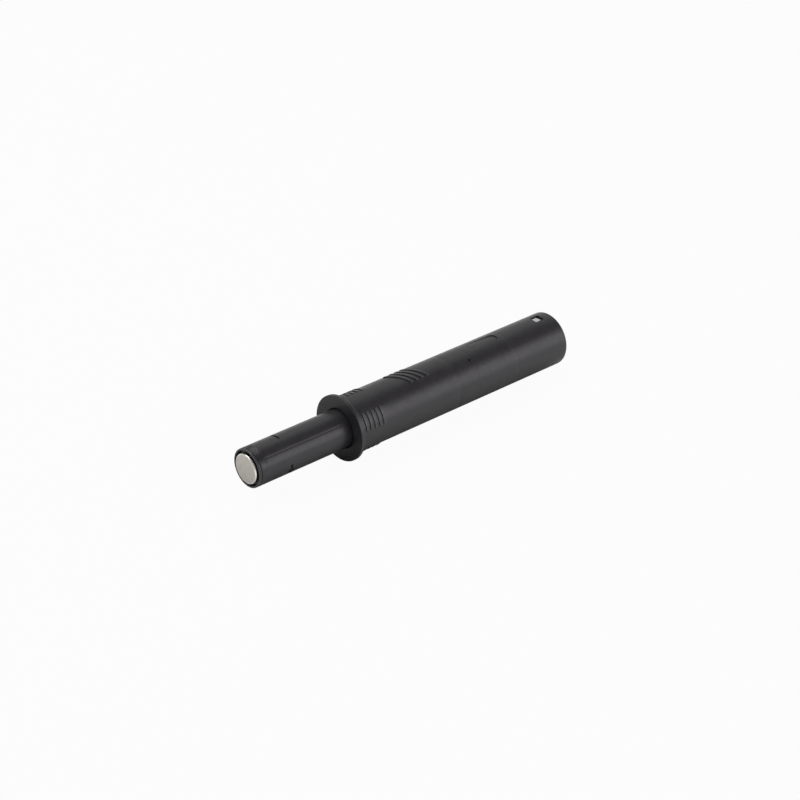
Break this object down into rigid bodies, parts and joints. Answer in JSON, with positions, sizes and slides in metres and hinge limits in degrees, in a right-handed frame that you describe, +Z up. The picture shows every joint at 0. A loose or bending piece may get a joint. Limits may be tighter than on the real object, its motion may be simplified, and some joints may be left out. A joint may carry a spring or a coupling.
{
  "type": "push to open catch",
  "caption": "Drill-in push to open catch: flanged tube body with a sprung, depth-adjustable magnetic plunger and a heart-cam latch.",
  "frame": {"origin": "on the catch's axis, at the back face of the flange, where it meets the drilled hole's edge", "axes": "+Y along the axis into the panel, the plunger stands out towards -Y, +Z up through the upper snap window"},
  "size_m": [0.0116, 0.0694, 0.0116],
  "materials": {
    "black_plastic": "satin moulded black plastic",
    "sleeve_plastic": "satin moulded black plastic",
    "cap_plastic": "natural grey moulded plastic",
    "cam_plastic": "natural white moulded plastic",
    "magnet_plating": "satin nickel plating",
    "spring_steel": "bright drawn spring wire",
    "ring_rubber": "matt rubber"
  },
  "bodies": {
    "housing_body": {"housing": "black_plastic", "end_cap": "cap_plastic", "leaf_spring": "spring_steel", "ejection_spring": "spring_steel"},
    "ejector_body": {"ejector": "cam_plastic", "friction_ring": "ring_rubber"},
    "wire_body": {"latch_wire": "spring_steel"},
    "magnet_unit": {"magnet": "magnet_plating", "magnet_carrier": "black_plastic"},
    "sleeve_body": {"plunger_sleeve": "sleeve_plastic"}
  },
  "joints": [
    {"name": "push_slide", "type": "slide", "parent": "housing_body", "child": "ejector_body", "axis": [0, 1, 0], "range_m": [0, 0.019], "stiffness_N_per_m": 350, "springref_m": -0.005, "deforming": ["ejection_spring"]},
    {"name": "latch_swing", "type": "hinge", "parent": "housing_body", "child": "wire_body", "pos_m": [0.00359, 0.0459, 0], "axis": [-1, 0, 0], "range_deg": [0, 6.2]},
    {"name": "depth_travel", "type": "slide", "parent": "ejector_body", "child": "magnet_unit", "axis": [0, -1, 0], "range_m": [-0.001, 0.004]},
    {"name": "depth_turn", "type": "hinge", "parent": "magnet_unit", "child": "sleeve_body", "pos_m": [0, 0, 0], "axis": [0, -1, 0], "range_deg": [-72, 288]}
  ],
  "couplings": [
    {"joint": "depth_turn", "follows": "depth_travel", "rad_per_m": 1256.6}
  ]
}
